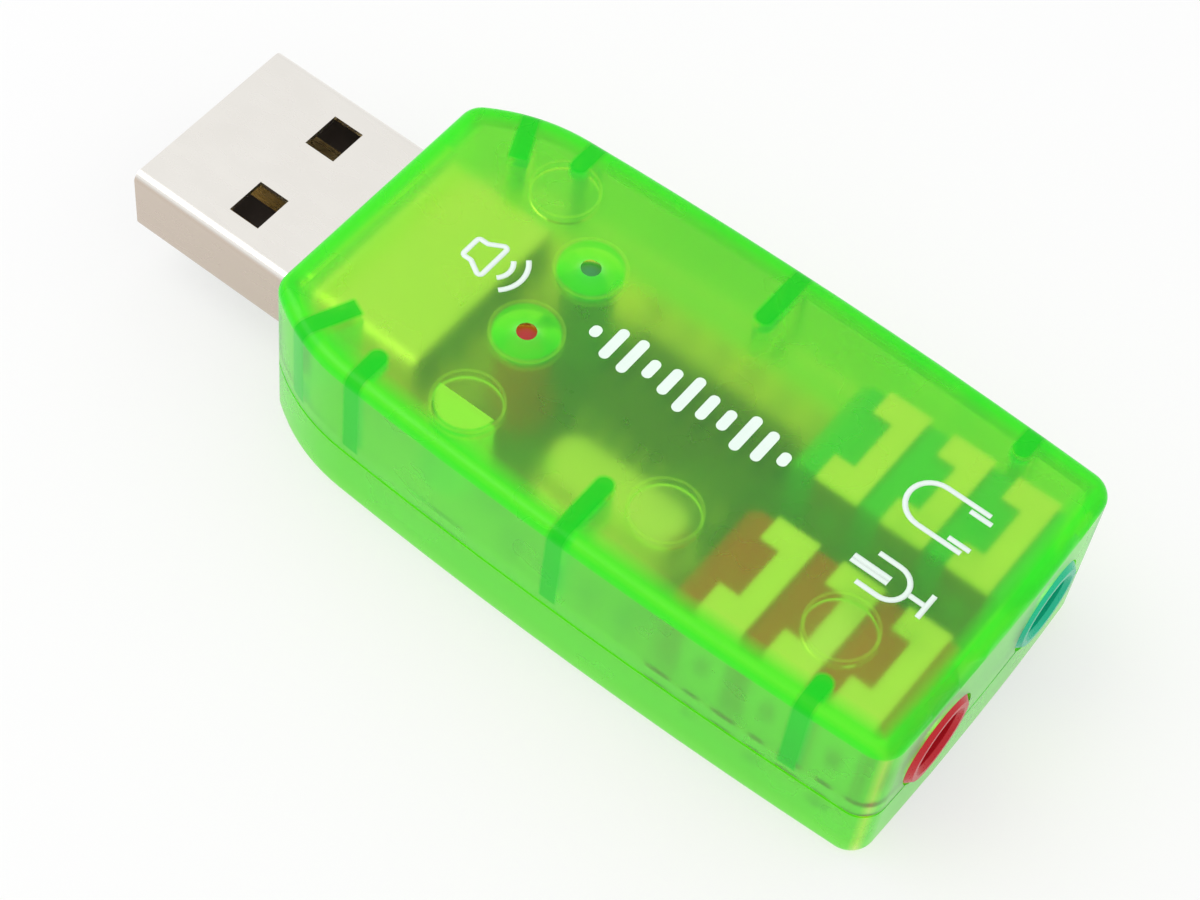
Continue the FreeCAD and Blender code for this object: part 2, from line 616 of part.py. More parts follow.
def main():
    os.makedirs("parts", exist_ok=True)
    for name, shape in build().items():
        shape.exportStep(f"parts/{name}.step")
        print(f"{name}: {len(shape.Solids)} solid, valid {shape.isValid()}, {shape.Volume:.1f} mm3")


main()
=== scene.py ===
# %% [markdown]
# # A pocket sound adapter in a clear green case
# The solids arrive finished from the CAD model: a case in two halves, a plug, a board and two
# jacks. What is left for Blender is how they look. Everything inside shows through the case, so
# the case's plastic matters most, and the pieces inside need real finishes too.

# %% Load the solids
import bpy
import math
from mathutils import Matrix, Vector


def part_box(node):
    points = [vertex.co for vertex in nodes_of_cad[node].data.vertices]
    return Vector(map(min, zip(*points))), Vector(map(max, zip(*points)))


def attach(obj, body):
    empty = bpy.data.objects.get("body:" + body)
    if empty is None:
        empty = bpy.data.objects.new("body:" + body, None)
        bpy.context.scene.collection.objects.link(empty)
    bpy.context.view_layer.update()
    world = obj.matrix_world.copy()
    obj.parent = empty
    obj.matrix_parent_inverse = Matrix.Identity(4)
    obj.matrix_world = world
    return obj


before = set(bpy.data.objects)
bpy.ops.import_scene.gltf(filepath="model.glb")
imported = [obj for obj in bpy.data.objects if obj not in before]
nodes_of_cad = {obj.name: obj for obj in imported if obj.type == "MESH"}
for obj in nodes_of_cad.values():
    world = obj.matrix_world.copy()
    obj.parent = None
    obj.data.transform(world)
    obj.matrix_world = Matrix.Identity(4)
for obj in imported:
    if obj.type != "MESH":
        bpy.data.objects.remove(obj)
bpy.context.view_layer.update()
MM = 0.001
LID_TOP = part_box("top_cover")[1][2]
print("loaded", len(nodes_of_cad), "pieces")

# %% [markdown]
# ## Helpers for finishes
# Every finish here is a small tree of nodes, and so is every form that is made below. `add_node`
# makes a node and sets or joins its inputs in one call, so that a recipe reads from top to bottom.
# A `Finish` starts with a Principled shader. Its patterns use Object coordinates, which are metres
# on these pieces.


# %% Node helpers
def add_node(tree, kind, inputs=None, **settings):
    """Make a node, and set or join its inputs by name or number."""
    node = tree.nodes.new(kind)
    for key, value in settings.items():
        setattr(node, key, value)
    for key, value in (inputs or {}).items():
        if isinstance(value, bpy.types.NodeSocket):
            tree.links.new(value, node.inputs[key])
        else:
            node.inputs[key].default_value = value
    return node


def math_node(tree, operation, *values):
    return add_node(tree, "ShaderNodeMath", dict(enumerate(values)), operation=operation).outputs[0]


def middle_of(name, axis):
    """The middle of a CAD piece's box along one axis."""
    low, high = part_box(name)
    return (low[axis] + high[axis]) / 2


# %% Finish helper
# Most values of a noise lie between these two.
NOISE_LOW, NOISE_HIGH = 0.3, 0.7
# Half the width of a mask's soft edge, for masks in millimetres.
SOFT = 0.12
WHITE = (1.0, 1.0, 1.0, 1.0)


class Finish:
    """One material under construction."""

    def __init__(self, name):
        self.material = bpy.data.materials.new(name)
        self.material.use_nodes = True
        self.tree = self.material.node_tree
        self.tree.nodes.clear()
        self.output = self.add("OutputMaterial")
        self.shader = self.add("BsdfPrincipled")
        self.show(self.shader.outputs[0])
        self.place = self.add("TexCoord").outputs["Object"]

    def add(self, kind, inputs=None, **settings):
        return add_node(self.tree, "ShaderNode" + kind, inputs, **settings)

    def math(self, operation, *values):
        return math_node(self.tree, operation, *values)

    def join(self, source, target):
        self.tree.links.new(source, target)

    def show(self, shader):
        self.join(shader, self.output.inputs["Surface"])

    def set(self, **values):
        """Set plain values of the Principled shader. An underscore stands for a space."""
        for key, value in values.items():
            self.shader.inputs[key.replace("_", " ")].default_value = value

    def color(self, socket):
        self.base = socket
        self.join(socket, self.shader.inputs["Base Color"])

    def roughness(self, socket):
        self.join(socket, self.shader.inputs["Roughness"])

    def bump(self, height, distance, strength):
        inputs = {"Height": height, "Distance": distance, "Strength": strength}
        self.join(self.add("Bump", inputs).outputs[0], self.shader.inputs["Normal"])

    def coordinates(self):
        return self.add("SeparateXYZ", {0: self.place}).outputs

    def noise(self, scale, detail=3.0, vector=None):
        inputs = {"Vector": vector or self.place, "Scale": scale, "Detail": detail}
        return self.add("TexNoise", inputs).outputs[0]

    def blend(self, share, low, high):
        """A colour between two."""
        return self.add("Mix", {0: share, 6: low, 7: high}, data_type="RGBA").outputs[2]

    def mixed(self, share, first, second):
        """A shader between two."""
        return self.add("MixShader", {0: share, 1: first, 2: second}).outputs[0]

    def spread(self, noise, low, high):
        """A noise mapped to a range."""
        inputs = {0: noise, 1: NOISE_LOW, 2: NOISE_HIGH, 3: low, 4: high}
        return self.add("MapRange", inputs).outputs[0]

    def past(self, value, edge, soft=SOFT):
        """1 where a value is past an edge, 0 before it."""
        inputs = {0: value, 1: edge - soft, 2: edge + soft, 3: 0.0, 4: 1.0}
        return self.add("MapRange", inputs).outputs[0]

    def short_of(self, value, edge, soft=SOFT):
        """1 where a value is short of an edge, 0 past it."""
        return self.math("SUBTRACT", 1.0, self.past(value, edge, soft))

    def length(self, x, y):
        squares = self.math("ADD", self.math("MULTIPLY", x, x), self.math("MULTIPLY", y, y))
        return self.math("SQRT", squares)

    def away_from(self, place, x, y):
        """How far a point lies from a place, seen from above."""
        dx = self.math("SUBTRACT", x, place[0])
        dy = self.math("SUBTRACT", y, place[1])
        return self.length(dx, dy)


def dress(finish, *names):
    """Give one finish to CAD pieces whose names start with any of these words."""
    done = [o for n, o in nodes_of_cad.items() if n.startswith(names)]
    for piece in done:
        piece.data.materials.clear()
        piece.data.materials.append(finish.material)
    print(finish.material.name, "on", len(done), "pieces")


# %% [markdown]
# ## Where the case is thick
# Moulded plastic is a little cloudy, and the cloud shows where there is much of it: at the rim, in
# the ribs and in the cones round the lamps. A cloudy volume would need many bounces of light in it.
# So the cloud is a green haze on the surface, and its share grows where the case behind the surface
# is thick. Each function below gives a share from 0 to 1, seen from above, and all places are in
# millimetres.

# %% Ribs under the lid
RIB_HALF = 0.55
# Each pair of straight ribs: its place along the case, and how far from the middle it starts.
RIBS = ((-7.225, 7.8), (6.175, 6.3), (20.975, 8.3))
SHOULDER_RIB = (-10.025, 6.5)
SHOULDER_RIB_TURN = math.radians(24.0)


def rib_share(finish, x, side):
    """1 on the straight ribs, which have round ends, and on the slanted ribs at the shoulders."""
    found = 0.0
    for place, inner in RIBS:
        across = finish.math("SUBTRACT", x, place)
        short = finish.math("MINIMUM", finish.math("SUBTRACT", side, inner + RIB_HALF), 0.0)
        bar = finish.short_of(finish.length(across, short), RIB_HALF)
        found = finish.math("MAXIMUM", bar, found)
    dx = finish.math("SUBTRACT", x, SHOULDER_RIB[0])
    dy = finish.math("SUBTRACT", side, SHOULDER_RIB[1])
    sine, cosine = math.sin(SHOULDER_RIB_TURN), math.cos(SHOULDER_RIB_TURN)
    forward = finish.math("MULTIPLY", dy, cosine)
    along = finish.math("SUBTRACT", forward, finish.math("MULTIPLY", dx, sine))
    sideways = finish.math("MULTIPLY", dx, cosine)
    across = finish.math("ADD", sideways, finish.math("MULTIPLY", dy, sine))
    bar = finish.short_of(finish.math("ABSOLUTE", across), RIB_HALF)
    bar = finish.math("MULTIPLY", bar, finish.past(along, 0.0))
    return finish.math("MAXIMUM", bar, found)


# %% Edge of the case
HALF_WIDTH, WIDEST_X, SIDE_RADIUS = 10.8, 8.075, 300.0
FRONT_X, END_X, END_RADIUS = -14.425, 26.175, 220.0
SHOULDER_X, SHOULDER_CENTRE, SHOULDER_RADIUS = -8.0, (-7.42, -0.92), 11.3


def edge_share(finish, x, y, side, width, soft):
    """1 within a width of the case's outline, which has bowed sides and round shoulders."""
    off = finish.math("SUBTRACT", x, WIDEST_X)
    bow = finish.math("DIVIDE", finish.math("MULTIPLY", off, off), 2 * SIDE_RADIUS)
    found = finish.past(finish.math("ADD", side, bow), HALF_WIDTH - width, soft)
    crown = finish.math("DIVIDE", finish.math("MULTIPLY", y, y), 2 * END_RADIUS)
    end = finish.past(finish.math("ADD", x, crown), END_X - width, soft)
    front = finish.short_of(x, FRONT_X + width, soft)
    away = finish.away_from(SHOULDER_CENTRE, x, side)
    shoulder = finish.past(away, SHOULDER_RADIUS - width, soft)
    shoulder = finish.math("MULTIPLY", finish.short_of(x, SHOULDER_X), shoulder)
    for part in (end, front, shoulder):
        found = finish.math("MAXIMUM", found, part)
    return found


# %% Thick places of the case
RIB_LOW = 4.9
RIM_WIDTH, RIM_FADE, RIM_DEPTH = 1.3, 0.5, 0.7
WALL_SKIN, WALL_FADE = 0.25, 0.12
POST, POST_RADIUS = (-2.125, -7.4), 1.75
ROUND_MARKS = (POST, (9.375, -6.0), (19.875, -5.7), (-6.825, 6.6))
ROUND_MARK_RADIUS = 1.9
CONE_RADIUS, CONE_RING = 1.8, 1.95
RING_HALF, RING_FADE = 0.09, 0.05


# Painted highlight: a thin ring of paler haze round a place.
def ring_highlight_share(finish, away, radius):
    inside = finish.short_of(away, radius + RING_HALF, RING_FADE)
    return finish.math("MULTIPLY", inside, finish.past(away, radius - RING_HALF, RING_FADE))


def thick_places(finish):
    """Shares of the ribs, cones, rim and outer walls, and of the painted highlights on the near half of
    the post and in rings round the cones and round marks.
    """
    scaled = finish.add("VectorMath", {0: finish.place, "Scale": 1 / MM}, operation="SCALE")
    x, y, z = finish.add("SeparateXYZ", {0: scaled.outputs[0]}).outputs
    side = finish.math("ABSOLUTE", y)
    cones = 0.0
    ring_highlights = 0.0
    for lamp in ("red_lamp", "green_lamp"):
        away = finish.away_from((middle_of(lamp, 0) / MM, middle_of(lamp, 1) / MM), x, y)
        cones = finish.math("MAXIMUM", finish.short_of(away, CONE_RADIUS), cones)
        ring_highlights = finish.math("MAXIMUM", ring_highlight_share(finish, away, CONE_RING), ring_highlights)
    for mark in ROUND_MARKS:
        ring = ring_highlight_share(finish, finish.away_from(mark, x, y), ROUND_MARK_RADIUS)
        ring_highlights = finish.math("MAXIMUM", ring, ring_highlights)
    # Painted highlight on the near half of the post, the half that catches light.
    disc = finish.short_of(finish.away_from(POST, x, y), POST_RADIUS)
    near_half = finish.math("LESS_THAN", finish.math("SUBTRACT", y, POST[1]), 0.0)
    post = finish.math("MULTIPLY", disc, near_half)
    ribs = rib_share(finish, x, side)
    in_lid = finish.past(z, RIB_LOW)
    shares = {"ribs": ribs, "cones": cones, "post": post, "ring_highlights": ring_highlights}
    shares = {name: finish.math("MULTIPLY", share, in_lid) for name, share in shares.items()}
    rim = edge_share(finish, x, y, side, RIM_WIDTH, RIM_FADE)
    shares["rim"] = finish.math("MULTIPLY", rim, finish.past(z, LID_TOP / MM - RIM_DEPTH))
    shares["walls"] = edge_share(finish, x, y, side, WALL_SKIN, WALL_FADE)
    return shares


# %% [markdown]
# ## Clear green plastic
# The case is tinted polycarbonate. Light that crosses one wall loses some red and most of its
# blue, and light that runs along a wall comes out deep green. A surface colour can't do that, so
# the tint is a volume that absorbs, and the surface is slightly rough glass. The outer walls get a
# tint of their own, for the light that runs along them.
#
# Over the glass lies the haze, under a thin gloss. It is deepest in the ribs. On the near half of
# the post and in thin rings round the cones and the round marks the haze is paler: a painted
# highlight for the light that they catch.
#
# Lamps would leave the inside dark, because a straight shadow ray can't follow the bend of glass.
# So shadow rays go straight through the surface, and so does light that has bounced from a rough or
# shiny piece inside. The volume tints them on the way.

# %% Glass of the case
WALL_TINT = (0.14, 0.80, 0.16, 1.0)
CASE_CLOUD = 180.0
CASE_ROUGH = (0.25, 0.32)

case = Finish("clear_green_plastic")
cloud = case.noise(CASE_CLOUD)
skin_rough = case.spread(cloud, *CASE_ROUGH)
case.roughness(skin_rough)
case.set(IOR=1.5, Specular_IOR_Level=0.15, Transmission_Weight=1.0)
places = thick_places(case)
case.color(case.blend(places["walls"], WHITE, WALL_TINT))
print("thick places:", ", ".join(places))

# %% Haze of the case
HAZE_THIN = (0.10, 0.97, 0.04, 1.0)
HAZE_THICK = (0.01, 0.96, 0.01, 1.0)
# The paler colour of the painted highlights on the post and in the rings.
HAZE_PAINTED_HIGHLIGHT = (0.36, 0.98, 0.06, 1.0)
HAZE_RIB = (0.004, 0.72, 0.012, 1.0)
HAZE_SHARES = {"ribs": 0.82, "cones": 0.46, "rim": 0.66, "walls": 0.24, "post": 0.76, "ring_highlights": 0.21}
MOST_HAZE = max(HAZE_SHARES.values())
LEAST_HAZE, HAZE_CLOUD = 0.10, 0.02
# How much of the haze throws light back, and the rest lets it through.
HAZE_BACK = 0.72
GLOSS_IOR = 1.28

extra = 0.0
for name, most in HAZE_SHARES.items():
    extra = case.math("MAXIMUM", case.math("MULTIPLY", places[name], most), extra)
haze_color = case.blend(case.math("DIVIDE", extra, MOST_HAZE), HAZE_THIN, HAZE_THICK)
# Painted highlight: the post and the rings get the paler haze colour.
painted_highlight = case.math("MAXIMUM", places["post"], places["ring_highlights"])
haze_color = case.blend(painted_highlight, haze_color, HAZE_PAINTED_HIGHLIGHT)
haze_color = case.blend(places["ribs"], haze_color, HAZE_RIB)
haze_through = case.add("BsdfTranslucent", {"Color": haze_color}).outputs[0]
haze_back = case.add("BsdfDiffuse", {"Color": haze_color}).outputs[0]
haze = case.mixed(HAZE_BACK, haze_through, haze_back)
gloss = case.add("BsdfGlossy", {"Color": WHITE, "Roughness": skin_rough}).outputs[0]
edge_gloss = case.add("Fresnel", {"IOR": GLOSS_IOR}).outputs[0]
coated = case.mixed(edge_gloss, haze, gloss)
thin_haze = case.spread(cloud, LEAST_HAZE - HAZE_CLOUD, LEAST_HAZE + HAZE_CLOUD)
body = case.mixed(case.math("ADD", extra, thin_haze), case.shader.outputs[0], coated)
print("haze from", LEAST_HAZE, "to", round(LEAST_HAZE + MOST_HAZE, 2))

# %% Light through the case
STRAIGHT_COLOR = (0.97, 0.985, 0.97, 1.0)
TINT_KEPT = (0.81, 0.995, 0.05, 1.0)
TINT_DENSITY = 1200.0

clear = case.add("BsdfTransparent", {"Color": STRAIGHT_COLOR}).outputs[0]
ray = case.add("LightPath").outputs
unbent = case.math("SUBTRACT", 1.0, ray["Is Transmission Ray"])
straight = case.math("MULTIPLY", ray["Is Glossy Ray"], unbent)
for kind in ("Is Diffuse Ray", "Is Shadow Ray"):
    straight = case.math("MAXIMUM", straight, ray[kind])
case.show(case.mixed(straight, body, clear))
tint = case.add("VolumeAbsorption", {"Color": TINT_KEPT, "Density": TINT_DENSITY})
case.join(tint.outputs[0], case.output.inputs["Volume"])
dress(case, "top_cover", "bottom_cover")

# %% [markdown]
# ## Metals
# The plug's shell is nickel-plated steel strip, brushed along its length, so its roughness and
# bump come from noise that is stretched along X. The jack contacts and the crystal's can are
# tinned, which is paler and softer. The plug's contacts are gold-plated. In the photograph the
# narrow sides of the shell are darker and warmer than its flat faces, so they are painted a darker,
# warmer steel: painted shade for the darker surroundings that they reflect.

# %% Metal recipe
GRAIN_DETAIL = 4.0
GRAIN_DEPTH, GRAIN_STRENGTH = 0.012 * MM, 0.35
METAL_CLOUD = 350.0


def metal(name, color, dull, stretch, rough):
    """Plated metal with a grain that is stretched along an axis."""
    finish = Finish(name)
    scaled = finish.add("Mapping", {"Vector": finish.place, "Scale": stretch})
    grain = finish.noise(1.0, GRAIN_DETAIL, scaled.outputs[0])
    finish.set(Metallic=1.0)
    finish.color(finish.blend(finish.noise(METAL_CLOUD), color, dull))
    finish.roughness(finish.spread(grain, *rough))
    finish.bump(grain, GRAIN_DEPTH, GRAIN_STRENGTH)
    return finish


# %% Metal finishes
plug_steel = metal(
    "plug_steel", (0.89, 0.865, 0.82, 1), (0.85, 0.82, 0.77, 1), (400, 900, 900), (0.24, 0.3),
)
tinned = metal(
    "tinned_contact", (0.90, 0.89, 0.86, 1), (0.80, 0.79, 0.75, 1), (3000, 600, 3000), (0.3, 0.45),
)
drawn_can = metal(
    "drawn_can", (0.84, 0.84, 0.83, 1), (0.74, 0.74, 0.73, 1), (1500, 1500, 400), (0.28, 0.42),
)
gold = metal(
    "gold_plate", (0.90, 0.72, 0.36, 1), (0.80, 0.60, 0.26, 1), (600, 5000, 5000), (0.2, 0.32),
)
dress(tinned, "mic_jack_contact", "headphone_jack_contact")
dress(drawn_can, "crystal_can")
dress(gold, "usb_contact")

# %% Sides of the plug, with painted shade
PLUG_SIDE, PLUG_SIDE_FADE = 5.9 * MM, 0.05 * MM
PAINTED_SIDE_SHADE = (0.62, 0.53, 0.45, 1)
# Painted shade: the narrow sides of the shell get a darker, warmer colour for the dark surroundings that
# they reflect.

plug_y = plug_steel.math("ABSOLUTE", plug_steel.coordinates()[1])
painted_side_shade = plug_steel.past(plug_y, PLUG_SIDE, PLUG_SIDE_FADE)
plug_steel.color(plug_steel.blend(painted_side_shade, plug_steel.base, PAINTED_SIDE_SHADE))
dress(plug_steel, "usb_shell")

# %% [markdown]
# ## Moulded plastics
# The jacks' bodies are coloured so that a user can tell them apart: red for the microphone and
# teal for the headphones. The plug's core is dark. Moulded plastic has a fine skin texture and
# slight clouds in its colour, which noise at two scales gives.

# %% Moulded finishes
MOULD_CLOUD = 400.0
SKIN_SCALE, SKIN_DETAIL = 6000.0, 2.0
SKIN_DEPTH, SKIN_STRENGTH = 0.01 * MM, 0.4


def moulded(name, color, deep, rough):
    finish = Finish(name)
    skin = finish.noise(SKIN_SCALE, SKIN_DETAIL)
    finish.color(finish.blend(finish.noise(MOULD_CLOUD), color, deep))
    finish.roughness(finish.spread(skin, *rough))
    finish.bump(skin, SKIN_DEPTH, SKIN_STRENGTH)
    finish.set(Specular_IOR_Level=0.3)
    return finish


mic_red = moulded("mic_red", (0.60, 0.010, 0.022, 1), (0.50, 0.006, 0.015, 1), (0.25, 0.38))
headphone_teal = moulded(
    "headphone_teal", (0.006, 0.58, 0.33, 1), (0.004, 0.48, 0.27, 1), (0.25, 0.38),
)
dark_core = moulded("dark_core", (0.060, 0.045, 0.036, 1), (0.040, 0.030, 0.024, 1), (0.4, 0.55))
dress(mic_red, "mic_jack_housing")
dress(headphone_teal, "headphone_jack_housing")
dress(dark_core, "usb_tongue")

# %% [markdown]
# ## Pieces of two materials
# A chip has a dark body and tinned leads, and a small capacitor has a ceramic middle with metal
# caps. Each is one solid here, so its finish looks at how far a point lies from the piece's middle
# line: past a limit it turns to metal. The places come from the solids' own boxes. A lamp has a
# tinted lens over bare leads, so its finish looks at the height instead.

# %% Two-part finishes
CHIP_BODY_HALF = 2.67 * MM
PART_BODY_HALF = 0.45 * MM
END_METAL = (0.82, 0.81, 0.78, 1)
PART_GRAIN = 2500.0
PART_ROUGH = (0.38, 0.52)
PART_DEPTH, PART_STRENGTH = 0.02 * MM, 0.3


def two_part(name, color, deep, model, limit):
    """A body finish that turns to tinned metal further than a limit from a piece's middle line."""
    finish = Finish(name)
    offset = finish.math("SUBTRACT", finish.coordinates()[1], middle_of(model, 1))
    end = finish.math("GREATER_THAN", finish.math("ABSOLUTE", offset), limit)
    grain = finish.noise(PART_GRAIN)
    finish.color(finish.blend(end, finish.blend(grain, color, deep), END_METAL))
    finish.join(end, finish.shader.inputs["Metallic"])
    finish.roughness(finish.spread(grain, *PART_ROUGH))
    finish.bump(grain, PART_DEPTH, PART_STRENGTH)
    return finish


chip_black = two_part(
    "chip_black", (0.030, 0.030, 0.034, 1), (0.018, 0.018, 0.022, 1), "audio_chip", CHIP_BODY_HALF,
)
ceramic_tan = two_part(
    "ceramic_tan", (0.46, 0.32, 0.20, 1), (0.38, 0.26, 0.16, 1), "capacitor_1", PART_BODY_HALF,
)
resistor_black = two_part(
    "resistor_black", (0.035, 0.035, 0.045, 1), (0.02, 0.02, 0.03, 1), "resistor_1", PART_BODY_HALF,
)
dress(chip_black, "audio_chip")
dress(ceramic_tan, "capacitor_")
dress(resistor_black, "resistor_")

# %% Lamp finishes
LENS_HEIGHT = 4.02 * MM
LEAD_METAL = (0.8, 0.79, 0.76, 1)
LENS_CLOUD = 900.0
LENS_ROUGH = (0.08, 0.2)


def lamp_finish(name, color, deep):
    """Tinted lens above, bare leads below."""
    finish = Finish(name)
    lens_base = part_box("red_lamp")[1][2] - LENS_HEIGHT
    lead = finish.math("LESS_THAN", finish.coordinates()[2], lens_base)
    cloud = finish.noise(LENS_CLOUD)
    finish.color(finish.blend(lead, finish.blend(cloud, color, deep), LEAD_METAL))
    finish.join(lead, finish.shader.inputs["Metallic"])
    finish.roughness(finish.spread(cloud, *LENS_ROUGH))
    finish.set(IOR=1.5)
    return finish


red_lens = lamp_finish("red_lens", (0.46, 0.020, 0.015, 1), (0.36, 0.012, 0.010, 1))
green_lens = lamp_finish("green_lens", (0.04, 0.30, 0.07, 1), (0.025, 0.22, 0.05, 1))
dress(red_lens, "red_lamp")
dress(green_lens, "green_lamp")

# %% [markdown]
# ## Circuit board
# The board is green lacquer over glass fibre, and copper tracks lie under the lacquer as paler
# lines. The tracks could be modelled, but they are a few hundredths of a millimetre high, so a
# pattern does: bands round the middles of Voronoi cells measured along X and Y make straight runs
# with corners, as tracks have. The front and the sides are coloured a pale gold instead of the
# green lacquer, so the board looks dark in the middle only.

# %% Tracks of the board
TRACK_CELLS, CELL_RANDOMNESS = 520.0, 0.7
BANDS_PER_CELL, TRACK_START = 4.5, 0.55
FIBRE_SCALE = 3500.0
LACQUER, LACQUER_DEEP = (0.010, 0.080, 0.024, 1), (0.007, 0.062, 0.018, 1)
LACQUER_ON_COPPER = (0.020, 0.140, 0.040, 1)
BOARD_ROUGH = (0.25, 0.4)
TRACK_HEIGHT, TRACK_STRENGTH = 0.03 * MM, 0.5

board_green = Finish("board_green")
cells = board_green.add(
    "TexVoronoi",
    {"Vector": board_green.place, "Scale": TRACK_CELLS, "Randomness": CELL_RANDOMNESS},
    feature="F1", distance="CHEBYCHEV",
)
bands = board_green.math("MULTIPLY", cells.outputs["Distance"], BANDS_PER_CELL)
track = board_green.math("GREATER_THAN", board_green.math("FRACT", bands), TRACK_START)
fibre = board_green.noise(FIBRE_SCALE)
lacquer = board_green.blend(fibre, LACQUER, LACQUER_DEEP)
lacquer = board_green.blend(track, lacquer, LACQUER_ON_COPPER)
board_green.roughness(board_green.spread(fibre, *BOARD_ROUGH))
board_green.bump(track, TRACK_HEIGHT, TRACK_STRENGTH)

# %% Pale front and sides of the board
EDGE_STRIP = 3.0 * MM
FRONT_STRIP = 7.5 * MM
STRIP_FADE = 0.6 * MM
GOLD_STRIP = (0.84, 0.70, 0.42, 1)

board_low, board_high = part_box("circuit_board")
board_x, board_y, _ = board_green.coordinates()
board_side = board_green.math("ABSOLUTE", board_y)
strip = board_green.past(board_side, board_high[1] - EDGE_STRIP, STRIP_FADE)
front = board_green.short_of(board_x, board_low[0] + FRONT_STRIP, STRIP_FADE)
strip = board_green.math("MAXIMUM", strip, front)
board_green.color(board_green.blend(strip, lacquer, GOLD_STRIP))
dress(board_green, "circuit_board")

# %% [markdown]
# ## Making a plain mesh from a tree
# Forms that repeat or follow a rule come from Geometry Nodes, with their sizes as named inputs. The
# finished piece has to be an ordinary mesh, because the export drops modifiers and instances. So
# the object is evaluated once, its result is copied, and the modifier goes.


# %% Tree helpers
def tree_with(name, numbers):
    """A new Geometry Nodes tree with a geometry and named numbers coming in."""
    tree = bpy.data.node_groups.new(name, "GeometryNodeTree")
    tree.interface.new_socket("Geometry", in_out="INPUT", socket_type="NodeSocketGeometry")
    for label, value in numbers.items():
        socket = tree.interface.new_socket(label, in_out="INPUT", socket_type="NodeSocketFloat")
        socket.default_value = value
    tree.interface.new_socket("Geometry", in_out="OUTPUT", socket_type="NodeSocketGeometry")
    return tree, tree.nodes.new("NodeGroupInput").outputs


def end_tree(tree, geometry, finish):
    """Realize what was made, give it its finish and send it out."""
    real = add_node(tree, "GeometryNodeRealizeInstances", {0: geometry}).outputs[0]
    painted = {"Geometry": real, "Material": finish.material}
    add_node(tree, "NodeGroupOutput", {0: add_node(tree, "GeometryNodeSetMaterial", painted).outputs[0]})
    return tree


def loose_points(name, points):
    mesh = bpy.data.meshes.new(name)
    mesh.from_pydata(points, [], [])
    return mesh


# %% Turn a tree's result into a piece
def made_by(tree, name, source):
    """Run a tree on a mesh or curve and keep the result as a plain mesh that rides on the body."""
    holder = bpy.data.objects.new(name + "_source", source)
    bpy.context.collection.objects.link(holder)
    modifier = holder.modifiers.new("made", "NODES")
    modifier.node_group = tree
    for item in tree.interface.items_tree:
        if item.in_out == "INPUT" and item.socket_type == "NodeSocketFloat":
            modifier[item.identifier] = item.default_value
    view = bpy.context.evaluated_depsgraph_get()
    mesh = bpy.data.meshes.new_from_object(holder.evaluated_get(view), depsgraph=view)
    holder.modifiers.clear()
    bpy.data.objects.remove(holder)
    mesh.name = name
    piece = bpy.data.objects.new(name, mesh)
    bpy.context.collection.objects.link(piece)
    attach(piece, "root")
    print(name, len(mesh.polygons), "faces")
    return piece


# %% [markdown]
# ## Solder joints
# Under the board every lead that comes through ends in a small cone of solder, which shows through
# the clear underside. They are all alike, so a tree puts one small cone on each point of a mesh
# that holds nothing but the points.

# %% Solder tree
JOINT_RADIUS, JOINT_HEIGHT = 0.75 * MM, 0.5 * MM
JOINT_TIP_SHARE = 0.4
UPSIDE_DOWN = (math.pi, 0.0, 0.0)

solder = metal(
    "solder", (0.78, 0.78, 0.76, 1), (0.64, 0.64, 0.62, 1), (2500, 2500, 2500), (0.25, 0.4),
)


def solder_tree():
    sizes = {"Foot radius": JOINT_RADIUS, "Height": JOINT_HEIGHT}
    tree, inputs = tree_with("solder_joints", sizes)
    cone = add_node(tree, "GeometryNodeMeshCone", {
        "Vertices": 20,
        "Side Segments": 3,
        "Radius Bottom": inputs["Foot radius"],
        "Radius Top": math_node(tree, "MULTIPLY", inputs["Foot radius"], JOINT_TIP_SHARE),
        "Depth": inputs["Height"],
    })
    put = add_node(tree, "GeometryNodeInstanceOnPoints", {
        "Points": inputs["Geometry"],
        "Instance": cone.outputs["Mesh"],
        "Rotation": UPSIDE_DOWN,
    })
    return end_tree(tree, put.outputs[0], solder)


# %% Solder joints under the board
LAMP_LEAD, CRYSTAL_LEAD = 1.27 * MM, 2.44 * MM

lead_ends = []
for jack in ("mic", "headphone"):
    for number in (1, 2, 3):
        contact = f"{jack}_jack_contact_{number}"
        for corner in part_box(contact):
            lead_ends.append((middle_of(contact, 0), corner[1]))
for lamp in ("red_lamp", "green_lamp"):
    for sign in (-1, 1):
        lead_ends.append((middle_of(lamp, 0), middle_of(lamp, 1) + sign * LAMP_LEAD))
for sign in (-1, 1):
    lead_ends.append((middle_of("crystal_can", 0) + sign * CRYSTAL_LEAD, middle_of("crystal_can", 1)))
joint_middle = board_low[2] - JOINT_HEIGHT / 2
joints = loose_points("solder_points", [(x, y, joint_middle) for x, y in lead_ends])
made_by(solder_tree(), "solder_joints", joints)

# %% [markdown]
# ## Lamp domes
# A round lamp has a bullet-shaped lens, and its tip shows through the hole in the lid. The solid
# ends flat, to keep it light, so a tree stands a ball on it and lifts the upper half, which leaves a
# straight wall under a round tip. The lower half of the ball is hidden in the lens, and the tip
# stays inside the cone of the lid.

# %% Dome tree
LENS_RADIUS = 1.45 * MM
TIP_BELOW_LID = 0.35 * MM
EQUATOR_SLACK = 0.001 * MM


